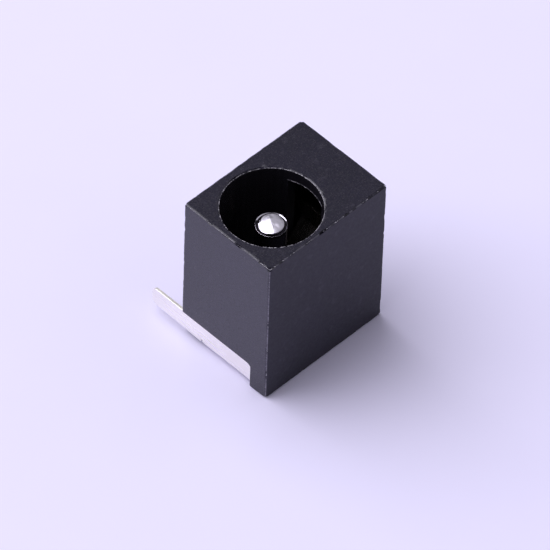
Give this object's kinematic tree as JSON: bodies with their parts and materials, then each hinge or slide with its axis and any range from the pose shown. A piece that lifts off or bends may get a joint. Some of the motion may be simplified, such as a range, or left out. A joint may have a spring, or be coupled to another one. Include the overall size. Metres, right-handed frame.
{
  "type": "dc barrel jack",
  "caption": "Low-profile board-mount DC power jack: black moulded block, round socket with a centre pin, leaf contact in a side chamber, flat solder tails.",
  "frame": {"origin": "on the socket axis, in the plane of the rear face that the jack stands on", "axes": "+Z along the socket axis, out of the mouth; +Y towards the circuit board, the way the solder tails leave the block; +X from the socket towards the spring chamber"},
  "size_m": [0.01, 0.0102, 0.012],
  "materials": {
    "housing": "moulded charcoal thermoplastic, fine matt texture outside, polished bore",
    "pin": "turned, nickel plated, bright tip",
    "tinned_strip": "pressed strip, matt tin plated",
    "spring_strip": "pressed spring strip, tin plated"
  },
  "bodies": {
    "root": {"housing": "housing", "centre_pin": "pin", "centre_terminal": "tinned_strip", "sleeve_contact": "spring_strip", "shunt_contact": "spring_strip"}
  },
  "joints": []
}
